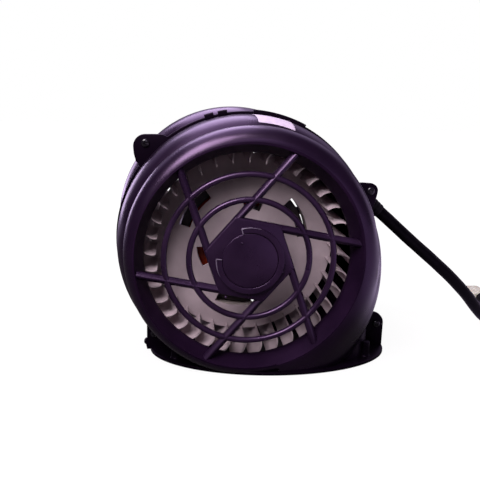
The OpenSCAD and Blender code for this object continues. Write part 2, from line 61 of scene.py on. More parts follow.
# Lead. A black sleeve of soft PVC, 13 mm thick, drawn over the motor's wires. It leaves the side of the
# rear shell downwards, bends under its own weight and runs on along the floor to its connector.
def quads(rows, columns, rows_closed=False, columns_closed=False):
    """Faces between neighbouring rows and columns of a grid of points that is numbered row by row."""
    row, column = np.meshgrid(np.arange(rows - (not rows_closed)),
                              np.arange(columns - (not columns_closed)), indexing="ij")
    next_row, next_column = (row + 1) % rows, (column + 1) % columns
    around = ((row, column), (next_row, column), (next_row, next_column), (row, next_column))
    return np.stack([a * columns + b for a, b in around], -1).reshape(-1, 4)


def capped(rows, columns):
    """Faces of a tube of rows that each close on themselves, with a cap on the first and the last row."""
    faces = quads(rows, columns, False, True).tolist()
    return faces + [list(range(columns)), list(range((rows - 1) * columns, rows * columns))]


def carried(path, first, second, section, closed=False):
    """A section carried along a path: point of the path plus the section's two numbers, measured along the
    first and the second direction, which are fixed or given for each point. Open ends are capped."""
    first, second = (np.broadcast_to(way, path.shape)[:, None, :] for way in (first, second))
    rings = path[:, None, :] + section[..., 0, None] * first + section[..., 1, None] * second
    rows, columns = rings.shape[:2]
    faces = quads(rows, columns, True, True).tolist() if closed else capped(rows, columns)
    return rings.reshape(-1, 3), faces


def unit(ways):
    """Directions of length one: each is divided by its length."""
    return ways / np.linalg.norm(ways, axis=1)[:, None]


def add_piece(name, shape, body, finish, sharp=38.0, closed=True):
    """A mesh from a shape drawn in millimetres round the fan, set on its body with its finish. Faces of
    closed shapes are turned outwards, and edges sharper than the angle stay sharp."""
    points, faces = shape
    mesh = bpy.data.meshes.new(name)
    mesh.from_pydata((fan_middle + 0.001 * points).tolist(), [], faces)
    if closed:
        work = bmesh.new()
        work.from_mesh(mesh)
        bmesh.ops.recalc_face_normals(work, faces=work.faces)
        work.to_mesh(mesh)
        work.free()
    mesh.shade_smooth()
    mesh.set_sharp_from_angle(angle=np.radians(sharp))
    mesh.materials.append(finish.material)
    piece = bpy.data.objects.new(name, mesh)
    bpy.context.scene.collection.objects.link(piece)
    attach(piece, body)
    return piece


class Finish:
    """A material with one shader, whose constants go straight to its sockets, on Object coordinates."""

    def __init__(self, name, roughness, **constants):
        self.material = bpy.data.materials.new(name)
        self.material.use_nodes = True
        self.nodes, self.links = self.material.node_tree.nodes, self.material.node_tree.links
        self.shader = self.nodes["Principled BSDF"].inputs
        self.shader["Roughness"].default_value = roughness
        for socket, value in constants.items():
            self.shader[socket.replace("_", " ")].default_value = value
        self.place = self.nodes.new("ShaderNodeTexCoord").outputs["Object"]

    def noise(self, scale, detail=4.0):
        """Soft noise with so many patches per metre."""
        patches = self.nodes.new("ShaderNodeTexNoise")
        patches.inputs["Scale"].default_value = scale
        patches.inputs["Detail"].default_value = detail
        self.links.new(self.place, patches.inputs["Vector"])
        return patches.outputs["Fac"]

    def shaded(self, share, low, high, start, end):
        """Base colour between two shades as the share rises from its start to its end."""
        ramp = self.nodes.new("ShaderNodeValToRGB")
        for element, position, colour in zip(ramp.color_ramp.elements, (start, end), (low, high)):
            element.position = position
            element.color = (*colour, 1)
        self.links.new(share, ramp.inputs["Fac"])
        self.links.new(ramp.outputs["Color"], self.shader["Base Color"])

    def mottled(self, scale, low, high):
        """Base colour that drifts between two shades in soft patches."""
        self.shaded(self.noise(scale), low, high, 0.32, 0.68)

    def polished(self, scale, low, high):
        """Roughness that drifts between two values in soft patches."""
        spread = self.nodes.new("ShaderNodeMapRange")
        for socket, value in zip(("From Min", "From Max", "To Min", "To Max"), (0.3, 0.7, low, high)):
            spread.inputs[socket].default_value = value
        self.links.new(self.noise(scale, 3.0), spread.inputs["Value"])
        self.links.new(spread.outputs["Result"], self.shader["Roughness"])

    def grained(self, height, strength, distance):
        """Small bumps from a height of 0 to 1 that stands for the distance in metres."""
        bump = self.nodes.new("ShaderNodeBump")
        bump.inputs["Strength"].default_value = strength
        bump.inputs["Distance"].default_value = distance
        self.links.new(height, bump.inputs["Height"])
        self.links.new(bump.outputs["Normal"], self.shader["Normal"])


sleeving = Finish("lead_sleeve", 0.4, Specular_IOR_Level=0.05)
sleeving.mottled(90, (0.0010, 0.0006, 0.0016), (0.0022, 0.0014, 0.0032))
sleeving.polished(60, 0.36, 0.55)
sleeving.grained(sleeving.noise(900), 0.25, 0.0002)

lead_r = 6.5
seat = np.array([123.85, 25.0, 45.78])
down_way = np.array([np.cos(np.radians(39)), 0.0, -np.sin(np.radians(39))])
lead_start = seat + 4 * down_way
corners = np.vstack([lead_start, lead_start + 12 * down_way, lead_start + 30 * down_way,
                     np.array([[152, 25, 110], [178, 26, 89], [203, 29, 68], [225, 34, 47], [243, 42, 27],
                               [258, 52, 13], [272, 65, 7.5], [283, 82, 7], [290, 101, 7], [294.6, 118, 7],
                               [296, 129, 7], [296, 140, 7]]) - 1000 * fan_middle])
# The route is the chain of corners, sampled evenly and then averaged over a tenth of its length, about
# 32 mm, with both ends held
chain = np.concatenate([[0], np.cumsum(np.linalg.norm(np.diff(corners, axis=0), axis=1))])
run = np.linspace(0, chain[-1], 241)
even = np.stack([np.interp(run, chain, corners[:, k]) for k in range(3)], -1)
ends = np.vstack([2 * even[0] - even[12:0:-1], even, 2 * even[-1] - even[-2:-14:-1]])
weights = np.hanning(27)[1:-1] / np.hanning(27)[1:-1].sum()
lead_line = np.stack([np.convolve(ends[:, k], weights, "valid") for k in range(3)], -1)
lead_way = unit(np.gradient(lead_line, axis=0))
lead_side = unit(np.cross(lead_way, [0.0, 1.0, 0.2]))
lead_over = np.cross(lead_way, lead_side)
# Sleeve radius: 6.5 mm less shallow lengthwise creases that come and go along the run
turn = np.linspace(0, 2 * np.pi, 40, endpoint=False)
crease = (0.07 * np.sin(3 * turn[None, :] + run[:, None] / 31)
          + 0.06 * np.sin(run[:, None] / 4.7 + 2 * np.sin(turn[None, :])) * np.sin(run[:, None] / 57) ** 2)
radius = lead_r - 0.13 + crease
sleeve_section = np.stack([radius * np.cos(turn), radius * np.sin(turn)], -1)
lead_sleeve = add_piece("lead_sleeve", carried(lead_line, lead_side, lead_over, sleeve_section), "housing",
                        sleeving)
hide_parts("motor_lead")


# Connector. A nylon housing at the end of the lead, moulded in one piece with three contact chambers, a
# latch on top and a groove round its body behind the collar that holds the sleeve.
nylon = Finish("natural_nylon", 0.42, Specular_IOR_Level=0.4, Subsurface_Weight=0.05)
nylon.mottled(140, (0.60, 0.56, 0.49), (0.68, 0.64, 0.57))
nylon.grained(nylon.noise(1400), 0.2, 0.0001)
right_way, rear_way, up_way = np.eye(3)


def round_loop(count):
    """A circle of radius one: cosine and sine of so many even angles."""
    t = np.linspace(0, 2 * np.pi, count, endpoint=False)
    return np.stack([np.cos(t), np.sin(t)], -1)


def box_section(width, height, power=5.0, count=32):
    """Superellipse: the sum of both half-width shares to a high power is one, so that corners are round."""
    c, s = round_loop(count).T
    return np.stack([0.5 * width * np.sign(c) * np.abs(c) ** (2 / power),
                     0.5 * height * np.sign(s) * np.abs(s) ** (2 / power)], -1)


def loft(stations, section):
    """A section carried to the rear through stations, each with its own two scales: rows hold the place of
    the centre, then the scale across and the scale up."""
    stations = np.asarray(stations, float)
    return carried(stations[:, :3], right_way, up_way, section[None, :, :] * stations[:, None, 3:5])


def together(shapes):
    """Several closed shapes as one list of points and one list of faces."""
    points, faces, start = [], [], 0
    for some_points, some_faces in shapes:
        points.append(some_points)
        faces += [[start + k for k in face] for face in some_faces]
        start += len(some_points)
    return np.concatenate(points), faces


tip = corners[-1]
block = box_section(22, 13, 9.0, 48)
rows = [[tip[0], tip[1] + y, tip[2], a, b] for y, a, b in
        [(0.0, 0.9, 0.86), (0.6, 0.97, 0.95), (1.6, 1, 1), (6, 1, 1), (6.3, 0.95, 0.93), (8, 0.95, 0.93),
         (8.3, 1, 1), (31, 1, 1), (33, 0.98, 0.97), (33.9, 0.93, 0.9), (34, 0.88, 0.84)]]
parts = [loft(rows, block)]
chamber = box_section(5, 7, 7.0, 28)
chamber_pitch = 6.5
for k in (-1, 0, 1):
    rows = [[tip[0] + chamber_pitch * k, tip[1] + y, tip[2], a, a] for y, a in
            [(27, 0.6), (33.5, 1.0), (34.4, 1.0), (34.7, 0.95), (34.7, 0.72), (28, 0.7)]]
    parts.append(loft(rows, chamber))
latch = box_section(6, 1.6, 5.0, 24)
rows = [[tip[0], tip[1] + y, tip[2] + 6.2 + z, 1, b] for y, z, b in
        [(9, 0.0, 0.6), (12, 0.4, 1), (24, 0.55, 1), (25.5, 0.5, 1.3), (27, 0.2, 0.5)]]
parts.append(loft(rows, latch))
connector = add_piece("connector_housing", together(parts), "housing", nylon)
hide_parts("lead_connector")


# Strain relief. A tapered boot of black rubber that is pressed into the short tube on the rear shell and
# carries the lead out of it. Ribs round the boot let it bend.
rubber = Finish("black_rubber", 0.6, Specular_IOR_Level=0.15)
rubber.mottled(120, (0.0014, 0.0008, 0.0020), (0.0030, 0.0020, 0.0042))
rubber.polished(150, 0.5, 0.7)
rubber.grained(rubber.noise(700), 0.2, 0.0002)


def round_body(line, radius, first, second, count):
    """A body turned about a straight line: a circle of its own radius at each point of the line."""
    return carried(line, first, second, radius[:, None, None] * round_loop(count)[None])


# Radius along the boot: a plug inside the tube, a collar, then a taper from 8.6 to 7.1 mm that has a rib
# every 4 mm, as a cosine
along = np.linspace(-9, 27, 145)
boot = np.where(along < 0, 7.4, np.where(along < 4, 9.0, 8.6 - 1.5 * (along - 4) / 23))
boot = boot + np.where(along > 5.5, 0.16 * np.cos(2 * np.pi * (along - 5.5) / 4), 0)
boot_line = seat + along[:, None] * down_way
boot_shape = round_body(boot_line, boot, rear_way, np.cross(down_way, rear_way), 40)
strain_relief = add_piece("strain_relief", boot_shape, "housing", rubber)
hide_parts("cable_gland")


# Rear shell. One half of the spiral housing, moulded in dark violet plastic: a round wall that widens
# towards the outlet, a rolled lip round the inlet, and a rim, ears and half a flange along the joint.
def housing_finish(name, low, high, rough_low, rough_high, gloss):
    """Violet plastic: two shades in soft patches, an uneven polish and a fine grain."""
    plastic = Finish(name, rough_low, Specular_IOR_Level=gloss, Specular_Tint=(0.86, 0.58, 1.0, 1))
    plastic.mottled(38, low, high)
    plastic.polished(26, rough_low, rough_high)
    plastic.grained(plastic.noise(1300), 0.10, 0.00012)
    return plastic


housing_plastic = housing_finish("housing_plastic", (0.0040, 0.0012, 0.0060), (0.0066, 0.0022, 0.0094),
                                 0.24, 0.34, 0.5)
# A duller copy of the same plastic for the throat's inside: painted shade for the dark inside of the throat
shaded_throat_plastic = housing_finish("shaded_throat_plastic", (0.0060, 0.0018, 0.0088), (0.0100, 0.0032, 0.0140),
                                0.5, 0.6, 0.1)
# A darker, duller copy of the same plastic for the rim, ears, webs, flanges and hooks along the joint:
# painted shade, standing in for the shade that falls there
shaded_joint_plastic = housing_finish("shaded_joint_plastic", (0.0015, 0.0005, 0.0022), (0.0024, 0.0008, 0.0034),
                               0.30, 0.40, 0.1)
grille_plastic = housing_finish("grille_plastic", (0.0080, 0.0028, 0.0112), (0.0164, 0.0070, 0.0222),
                                0.24, 0.36, 0.5)

floor_z = -112.0
ray_start_r, ray_start_deep = 60, 30
spiral_middle, spiral_r, spiral_deep, shoulder_r = (0.8, 3.6), 123.0, 50, 28
outlet_middle, outlet_r, outlet_deep, outlet_round_r = (-5.5, -23.0), 140.0, 66, 42.5
duct_out, duct_deep, duct_round_r = 129.3, 46, 40
crown_middle, crown_r, crown_round_r = (-10.33, 19.42), 113.0, 25.5
lip_middle, lip_ring_r, lip_deep, lip_r, lip_front = (3.46, 2.0), 102.2, 56.0, 15.0, 71.0
throat_r, rim_r, throat_end = 95.5, 103.8, 53.0


def reach(way, centre, circle_r):
    """Distance from the fan axis in each direction to the far side of a circle that is off the axis."""
    beside = way[..., 0] * centre[1] - way[..., 1] * centre[0]
    return way @ np.asarray(centre, float) + np.sqrt(np.maximum(circle_r ** 2 - beside ** 2, 0))


def out_of_block(ray, wall_r, deep, round_r, round_h):
    """Way along a ray out of a rounded block in the plane of radius and depth. Rays start 60 mm from the
    axis at depth 30. A ray leaves through the straight wall, the face, or else the elliptic shoulder."""
    c, s = np.cos(ray), np.sin(ray)
    to_wall = (wall_r - ray_start_r) / np.maximum(c, 1e-6)
    to_face = np.where(s > 1e-6, (deep - ray_start_deep) / np.maximum(s, 1e-6), 1e6)
    # The shoulder: the far root of the ray against an ellipse, measured in shares of its two half widths
    px, py = (ray_start_r - wall_r + round_r) / round_r, (ray_start_deep - deep + round_h) / round_h
    dx, dy = c / round_r, s / round_h
    b = (px * dx + py * dy) / (dx ** 2 + dy ** 2)
    q = (px ** 2 + py ** 2 - 1) / (dx ** 2 + dy ** 2)
    to_round = -b + np.sqrt(np.maximum(b ** 2 - q, 0))
    on_wall = ray_start_deep + to_wall * s <= deep - round_h
    on_face = ray_start_r + to_face * c <= wall_r - round_r
    return np.where(on_wall, to_wall, np.where(on_face, to_face, to_round))


def soft_max(a, b, width):
    """The larger of two values, rounded off where they differ by less than the width."""
    near = np.maximum(width - np.abs(a - b), 0) / width
    return np.maximum(a, b) + 0.25 * width * near ** 2


def wall_and_lip(angle, ray, crown):
    """Way along each ray to the outside of the spiral and to the outside of the rolled lip. The spiral is
    a main circle, a wider arc and a straight duct at the outlet and, on the rear shell, a fuller corner."""
    way = np.stack([np.cos(angle), np.sin(angle)], -1)
    far = out_of_block(ray, reach(way, spiral_middle, spiral_r), spiral_deep, shoulder_r, shoulder_r)
    outlet = (np.sin(angle) < 0.75) & (np.cos(angle) > 0.26)
    arc = out_of_block(ray, reach(way, outlet_middle, outlet_r), outlet_deep, outlet_round_r, outlet_round_r)
    far = np.where(outlet, soft_max(far, arc, 2.0), far)
    cosine = np.maximum(np.cos(angle), 0.2)
    duct = out_of_block(ray, duct_out / cosine, duct_deep, duct_round_r / cosine, duct_round_r)
    far = np.where(outlet & (np.sin(angle) < -0.26), soft_max(far, duct, 3.0), far)
    if crown:
        wide = reach(way, crown_middle, crown_r)
        corner = out_of_block(ray, wide, spiral_deep, crown_round_r, crown_round_r)
        # Towards the joint the corner rounds off too: a like block turned over about depth 30
        corner = np.where(ray < 0, out_of_block(-ray, wide, 64, 25, 26), corner)
        upper = (angle > np.radians(62)) & (angle < np.radians(186))
        far = np.where(upper, soft_max(far, corner, 1.0), far)
    # The lip: the far side of a circle of the lip's radius about its own ring
    lip_x = reach(way, lip_middle, lip_ring_r) - ray_start_r
    lip_y = lip_deep - ray_start_deep
    b = lip_x * np.cos(ray) + lip_y * np.sin(ray)
    inside = b ** 2 - lip_x ** 2 - lip_y ** 2 + lip_r ** 2
    lip = np.where(inside > 0, b + np.sqrt(np.maximum(inside, 0)), 0)
    return far, lip


def spiral(crown):
    """Radius and depth of the shell's outside for 360 directions and a row of places from the joint over
    the shoulder, the groove, the rolled lip and its rim down the throat: where each ray starts, plus its
    way out times its cosine and sine. Down the throat both run straight from the rim to the throat's end."""
    angle = np.radians(np.arange(0, 360, 1.0))[:, None]
    ray = np.radians(np.linspace(-40, 80, 961))[None, :]
    far, lip = wall_and_lip(angle, ray + 0 * angle, crown)
    first = np.argmax(lip >= far, axis=1)
    groove = ray[0, first]
    flare = (rim_r - throat_r) / (lip_front - throat_end)
    out = np.maximum(far, lip)
    inner = (ray_start_r + out * np.cos(ray)) - throat_r
    inner = inner - (ray_start_deep + out * np.sin(ray) - throat_end) * flare
    past = (np.arange(ray.size)[None, :] > first[:, None]) & (inner < 0)
    last = np.argmax(past, axis=1)
    row = np.arange(len(angle))
    share = inner[row, last - 1] / (inner[row, last - 1] - inner[row, last])
    rim = ray[0, last - 1] + share * (ray[0, last] - ray[0, last - 1])
    # The row starts beside the joint, where the wall has a small depth
    joint_deep = 0.25
    height = ray_start_deep + far * np.sin(ray)
    start = np.argmax(height > joint_deep, axis=1)
    share = (joint_deep - height[row, start - 1]) / (height[row, start] - height[row, start - 1])
    bottom = ray[0, start - 1] + share * (ray[0, start] - ray[0, start - 1])
    # Places lie closer together beside the groove
    to_groove = 1 - (1 - np.linspace(0, 1, 56)) ** 1.35
    to_rim = np.linspace(0, 1, 51)[1:] ** 1.25
    rays = np.concatenate([bottom[:, None] + to_groove * (groove - bottom)[:, None],
                           groove[:, None] + to_rim * (rim - groove)[:, None]], axis=1)
    far, lip = wall_and_lip(angle, rays, crown)
    # The groove beside the lip is soft on the left and fills up towards the outlet
    fill = np.clip((25 - (np.degrees(angle) + 180) % 360 + 180) / 30, 0, 1) * (np.cos(angle) > 0)
    out = soft_max(far, lip, 5.0 + 10 * fill ** 2 * (3 - 2 * fill))
    r, h = ray_start_r + out * np.cos(rays), ray_start_deep + out * np.sin(rays)
    down = np.linspace(0, 1, 9)[1:]
    r = np.concatenate([r, r[:, -1:] + down * (throat_r - r[:, -1:])], axis=1)
    h = np.concatenate([h, h[:, -1:] + down * (throat_end - h[:, -1:])], axis=1)
    return angle, r, h


def thickened(piece, name, thickness):
    """A sheet gets its thickness, in metres, on its inner side."""
    thick = piece.modifiers.new(name, "SOLIDIFY")
    thick.thickness = thickness
    thick.offset = -1.0


def shell_wall(name, side, crown):
    """The shell's wall: radius and depth carried round the axis. What would go below the floor is cut flat
    there, and faces that lie wholly in the cut are left open as the outlet."""
    angle, r, h = spiral(crown)
    x, z = r * np.cos(angle), r * np.sin(angle)
    cut = z <= floor_z
    x = np.where(cut, x * floor_z / np.minimum(z, -1e-6), x)
    z = np.maximum(z, floor_z)
    points = np.stack([x, side * h, z], -1).reshape(-1, 3)
    faces = quads(*r.shape, True, False)
    kept = ~cut.reshape(-1)[faces].all(axis=1)
    faces = faces[kept]
    if side > 0:
        faces = faces[:, ::-1]
    piece = add_piece(name, (points, faces.tolist()), "housing", housing_plastic, 50.0, False)
    # The throat's inside, which is the last steps of each row, gets a duller copy of the plastic as painted
    # shade, standing in for the shade inside the throat
    throat_steps = 10
    steps = r.shape[1] - 1
    step = np.tile(np.arange(steps), len(r))[kept]
    piece.data.materials.append(shaded_throat_plastic.material)
    piece.data.polygons.foreach_set("material_index", (step >= steps - throat_steps).astype(np.int32))
    thickened(piece, "wall_thickness", 0.0024)
    return piece


rear_wall = shell_wall("rear_wall", 1, True)
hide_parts("rear_shell")


def plate(outline, low, high, edge, standing=True, side=1):
    """A plate of the given outline between two levels with rounded edges. The edge is a quarter circle at
    both faces: the outline moves in by edge minus edge times the sine as the level moves by the cosine."""
    outline = np.asarray(outline, float)
    way = unit(np.roll(outline, -1, axis=0) - np.roll(outline, 1, axis=0))
    inward = np.stack([-way[:, 1], way[:, 0]], -1)
    area = np.sum(outline[:, 0] * np.roll(outline[:, 1], -1) - outline[:, 1] * np.roll(outline[:, 0], -1))
    inward = inward * np.sign(area)
    bend = np.linspace(0, np.pi / 2, 4)
    inset = np.concatenate([edge * (1 - np.sin(bend)), edge * (1 - np.sin(bend[::-1]))])
    rise = np.concatenate([low + edge * (1 - np.cos(bend)), high - edge * (1 - np.cos(bend[::-1]))])
    rings = outline[None] + inset[:, None, None] * inward[None]
    levels = np.repeat(rise[:, None], len(outline), 1)
    if standing:
        points = np.stack([rings[..., 0], side * levels, rings[..., 1]], -1)
    else:
        points = np.stack([rings[..., 0], rings[..., 1], levels], -1)
    return points.reshape(-1, 3), capped(*levels.shape)


def arc_points(centre, r, start, end, count):
    """Points on an arc between two angles in degrees: the centre plus radius times cosine and sine."""
    t = np.radians(np.linspace(start, end, count))
    return np.stack([centre[0] + r * np.cos(t), centre[1] + r * np.sin(t)], -1)


def dense(corner_points, step):
    """The closed outline through the corners: straight runs, with a point at every step of their length."""
    loop = np.vstack([corner_points, corner_points[:1]])
    length = np.concatenate([[0], np.cumsum(np.linalg.norm(np.diff(loop, axis=0), axis=1))])
    place_on = np.linspace(0, length[-1], int(length[-1] / step), endpoint=False)
    return np.stack([np.interp(place_on, length, loop[:, k]) for k in range(2)], -1)


ear_thick = 2.4
left_ear = np.array([-96.2, 94.0])
right_ear = np.array([126.5, 54.1])
left_ear_outline = np.vstack([arc_points(left_ear, 11.5, 92, 182, 22),
                              left_ear + [[-10.9, -7], [-9, -14], [-5.5, -19], [2, -24], [26, -26], [28, 0],
                                          [26, 5.5], [20.5, 9.6], [16, 11.6], [9, 11.7]]])
right_ear_outline = np.vstack([arc_points(right_ear, 7.5, -12, 88, 20),
                               right_ear + [[-8, 8.0], [-16, 7.6], [-24, 2], [-24, -22], [0, -24], [3.5, -17],
                                            [6, -9]]])
low_right_outline = np.vstack([[[102, floor_z]], [[148.5, floor_z]], [[150, floor_z + 2]],
                               [[150, -89.5]], arc_points((138.6, -85.1), 11.4, 0, 90, 16),
                               [[122, -73.7], [102, -73.7]]])
low_left_outline = np.vstack([[[-27.5, floor_z]], [[-58, -82]], [[-90, -80]], [[-93.5, -81.2]],
                              [[-95.5, -84]], [[-95.5, -101]], arc_points((-95.5, -104), 3, 95, 250, 10),
                              [[-95.5, floor_z]]])


def round_ways(angle):
    """Directions square to the fan axis: the angle's cosine to the right and its sine upwards."""
    return np.stack([np.cos(angle), 0 * angle, np.sin(angle)], -1)


def joint_arc(start, end, count, r, deep, section):
    """A bar of the given section along the joint: its arc runs about the spiral's middle at radius r."""
    ring = round_ways(np.radians(np.linspace(start, end, count)))
    middle = np.array([spiral_middle[0], deep, spiral_middle[1]])
    return carried(middle + r * ring, ring, rear_way, section)


def joint_plates(name, side):
    """Thin rim along the joint, a thicker step of it on top, the two upper ears and the two webs that tie
    the lower ears to the flange."""
    rim = joint_arc(31, 188, 300, 122.9, side * 1.2, box_section(5.4, 2.2, 8.0, 28))
    step = joint_arc(63.5, 87.5, 60, 123.9, side * 2.4, box_section(7.2, 4.6, 8.0, 28))
    plates = [plate(dense(outline, 1.0), 0.1, ear_thick, 0.5, True, side) for outline in
              (left_ear_outline, right_ear_outline, low_right_outline, low_left_outline)]
    add_piece(name, together([rim, step] + plates), "housing", shaded_joint_plastic)


joint_plates("rear_joint_rim", 1)


flange_x, flange_half_x, flange_half_y = 29, 121, 70
foot_x, foot_half_x, foot_half_y = 44, 84, 43
boss_places, boss_beside = (-66, 124), 30


def flange_half(name, side):
    """Half of the oval flange: a flat band between the housing's foot and an ellipse, with a boss over each
    screw hole. The band's edge is round."""
    t = np.radians(np.linspace(0, 180, 181))
    outer = np.stack([flange_x + flange_half_x * np.cos(t), flange_half_y * np.sin(t)], -1)
    foot = np.stack([foot_x + foot_half_x * np.cos(t), foot_half_y * np.sin(t) ** 0.7], -1)
    band = np.vstack([outer, foot[::-1]])
    band[:, 1] = np.maximum(band[:, 1], 0.1) * side
    shapes = [plate(band, floor_z, floor_z + 3, 0.6, False)]
    # Boss radius falls a little with height, flares at the foot and rounds off at the top
    level = np.array([2, 3.2, 4.2, 6, 12, 17, 17.7, 18, 18])
    boss = np.array([6, 5.4, 4.9, 4.65, 4.5, 4.4, 4.2, 3.7, 2.0])
    for x in boss_places:
        line = np.stack([0 * level + x, 0 * level + boss_beside * side, floor_z + level], -1)
        shapes.append(round_body(line, boss, right_way, rear_way, 36))
    add_piece(name, together(shapes), "housing", shaded_joint_plastic)


flange_half("rear_flange", 1)


# Where the raised ring on the hub plate ends, its edges are painted pale: a painted highlight where they
# catch the light
painted_highlight_edge = Finish("painted_highlight_edge", 0.34, Specular_IOR_Level=0.5)
painted_highlight_edge.mottled(260, (0.09, 0.065, 0.105), (0.17, 0.13, 0.20))


def inlet_grille(name, side):
    """Six slanted bars round a six-sided hub plate, tied by two rings. The bars have a roof-shaped section,
    the rings a nearly round one, and both are carried along straight lines and circles."""
    grille_deep = side * 66.0
    bar_count, bar_angle, bar_offset, bar_start, bar_end = 6, -10.47, 33, -17.5, 99.0
    hoop_start, hoop_end, hoop_r, hoop_edge_r = 177, 466, 28.25, 30.4
    hoop_deep, bead_deep, edge_deep = side * 70.6, side * 72.55, side * 72.75
    shapes = []
    roof = np.array([[-3.5, -2.6], [-3.1, -3.0], [3.1, -3.0], [3.5, -2.6], [3.5, 0.2], [3.35, 0.7],
                     [0.5, 2.85], [0.0, 3.0], [-0.5, 2.85], [-3.35, 0.7], [-3.5, 0.2]]) * [1, side]
    for k in range(bar_count):
        a = np.radians(bar_angle + 360 / bar_count * k)
        along, beside = np.array([np.cos(a), np.sin(a)]), np.array([-np.sin(a), np.cos(a)])
        u = np.linspace(bar_start, bar_end, 60)
        flat = u[:, None] * along + bar_offset * beside
        line = np.stack([flat[:, 0], np.full(len(u), grille_deep), flat[:, 1]], -1)
        shapes.append(carried(line, [beside[0], 0, beside[1]], rear_way, roof))
    ring = round_ways(np.radians(np.arange(0, 360, 1.5)))
    ring_section = box_section(5.5, 5.6, 2.3, 28)
    for r in (54.75, 77.25):
        shapes.append(carried(r * ring + grille_deep * rear_way, ring, rear_way, ring_section, True))
    hub_corner_r = 41.57
    corner = np.radians(bar_angle + 60 + 60 * np.arange(6))
    hexagon = hub_corner_r * np.stack([np.cos(corner), np.sin(corner)], -1)
    shapes.append(plate(dense(hexagon, 1.0), 63.1, 69.0, 0.9, True, side))
    hoop = round_ways(np.radians(np.linspace(hoop_start, hoop_end, 200)))
    hoop_section = box_section(5.5, 4.0, 9.0, 36)
    shapes.append(carried(hoop_r * hoop + hoop_deep * rear_way, hoop, rear_way, hoop_section))
    shapes.append(plate(arc_points((0, 0), 25.1, 0, 357, 120), 68.0, 71.8, 0.5, True, side))
    # Fine bead along both ends of the raised ring, which runs out along its outer edge
    inner_end = np.linspace(25.7, hoop_edge_r, 12)[:, None]
    bead_line = np.vstack([inner_end * hoop[0], hoop_edge_r * hoop[2:-2], inner_end[::-1] * hoop[-1]])
    bead_line[:, 1] = bead_deep
    bead_side = np.cross(unit(np.gradient(bead_line, axis=0)), rear_way)
    bead_fade = np.clip(2.4 * np.abs(np.linspace(-1, 1, len(bead_line))) - 1.1, 0.05, 1)
    bead_section = bead_fade[:, None, None] * box_section(1.2, 1.1, 2.0, 12)[None]
    shapes.append(carried(bead_line, bead_side, rear_way, bead_section))
    # Painted highlight: pale edges out along one end of the raised ring, then along its outer edge until they
    # fade
    edge_shapes = []
    edge_r = np.concatenate([np.linspace(25.6, hoop_edge_r, 10), np.full(30, hoop_edge_r)])
    edge_fade = np.clip(np.linspace(1.6, 0.05, len(edge_r)), 0, 1)
    edge_section = edge_fade[:, None, None] * box_section(1.15, 1.1, 2.0, 12)[None]
    for end, start, stop in ((106.2, 105.5, 66), (176.8, 177.5, 214)):
        bend = np.radians(np.concatenate([np.full(10, end), np.linspace(start, stop, 30)]))
        line = edge_r[:, None] * round_ways(bend) + edge_deep * rear_way
        line_side = np.cross(unit(np.gradient(line, axis=0)), rear_way)
        edge_shapes.append(carried(line, line_side, rear_way, edge_section))
    add_piece(name + "_edges", together(edge_shapes), "housing", painted_highlight_edge)
    # Low pips that the mould leaves on the hub plate and, inside the raised ring, on its round middle
    for x, z in ((-7.7, 16.1), (29.5, -10.2), (13.3, -26.5), (-21.0, -34.7)):
        out = 68.0 if np.hypot(x, z) > 32 else 71.0
        level = side * (out + np.array([0.0, 0.9, 1.35, 1.5]))
        line = np.stack([0 * level + x, level, 0 * level + z], -1)
        shapes.append(round_body(line, np.array([1.3, 1.2, 0.8, 0.15]), right_way, up_way, 20))
    add_piece(name, together(shapes), "housing", grille_plastic)


inlet_grille("rear_grille", 1)


# Motor. A stack of steel sheets with enamelled copper coils on both sides, held between two pressed
# brackets. Its shaft runs in two ball bearings, and rubber dampers set it off from the shell.
def metal_finish(name, low, high, rough_low, rough_high, metallic=1.0, scale=220):
    """Plated or cast metal: two shades in fine patches and an uneven polish."""
    metal = Finish(name, rough_low, Metallic=metallic)
    metal.mottled(scale, low, high)
    metal.polished(0.7 * scale, rough_low, rough_high)
    metal.grained(metal.noise(8 * scale), 0.12, 0.0001)
    return metal


zinc = metal_finish("zinc_plate", (0.42, 0.42, 0.45), (0.56, 0.56, 0.58), 0.26, 0.42)
ground_steel = metal_finish("ground_steel", (0.48, 0.48, 0.5), (0.58, 0.58, 0.6), 0.18, 0.3)
cast_cage = metal_finish("cast_aluminium", (0.46, 0.46, 0.48), (0.6, 0.6, 0.62), 0.42, 0.6)
dark_coat = metal_finish("dark_coat", (0.011, 0.006, 0.006), (0.020, 0.012, 0.012), 0.42, 0.56, 0.1)
brass = metal_finish("turned_brass", (0.5, 0.33, 0.12), (0.6, 0.42, 0.18), 0.25, 0.38)
sheets = Finish("stacked_sheets", 0.5, Metallic=0.9)
stripes = sheets.nodes.new("ShaderNodeTexWave")
stripes.bands_direction = "Y"
stripes.inputs["Scale"].default_value = 310
stripes.inputs["Distortion"].default_value = 0.4
sheets.links.new(sheets.place, stripes.inputs["Vector"])
sheets.shaded(stripes.outputs["Fac"], (0.10, 0.10, 0.11), (0.24, 0.24, 0.25), 0.0, 1.0)
sheets.grained(stripes.outputs["Fac"], 0.3, 0.0002)
for node, finish in (("shaft", ground_steel), ("rotor_core", sheets), ("rotor_cage", cast_cage),
                     ("shaft_clips", zinc), ("stator_core", sheets), ("motor_front_bracket", dark_coat),
                     ("motor_rear_bracket", dark_coat), ("motor_bolts", zinc),
                     ("front_bearing", ground_steel), ("rear_bearing", ground_steel),
                     ("motor_dampers", rubber), ("impeller_hub", brass), ("hub_nut", zinc),
                     ("motor_mount_screws", zinc)):
    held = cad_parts[node].data.materials
    held.clear()
    held.append(finish.material)

copper = Finish("enamelled_copper", 0.35, Metallic=0.55, Coat_Weight=0.4)
copper.mottled(160, (0.30, 0.020, 0.010), (0.46, 0.050, 0.016))
copper.grained(copper.noise(900), 0.2, 0.0002)
coil_count, coil_r, loop_count = 8, 46, 96
t = np.radians(np.arange(0, 360, 0.75))
ring = round_ways(t)
loop = box_section(19.4, 6.8, 3.0, loop_count)
s = np.arange(loop_count) * 2 * np.pi / loop_count
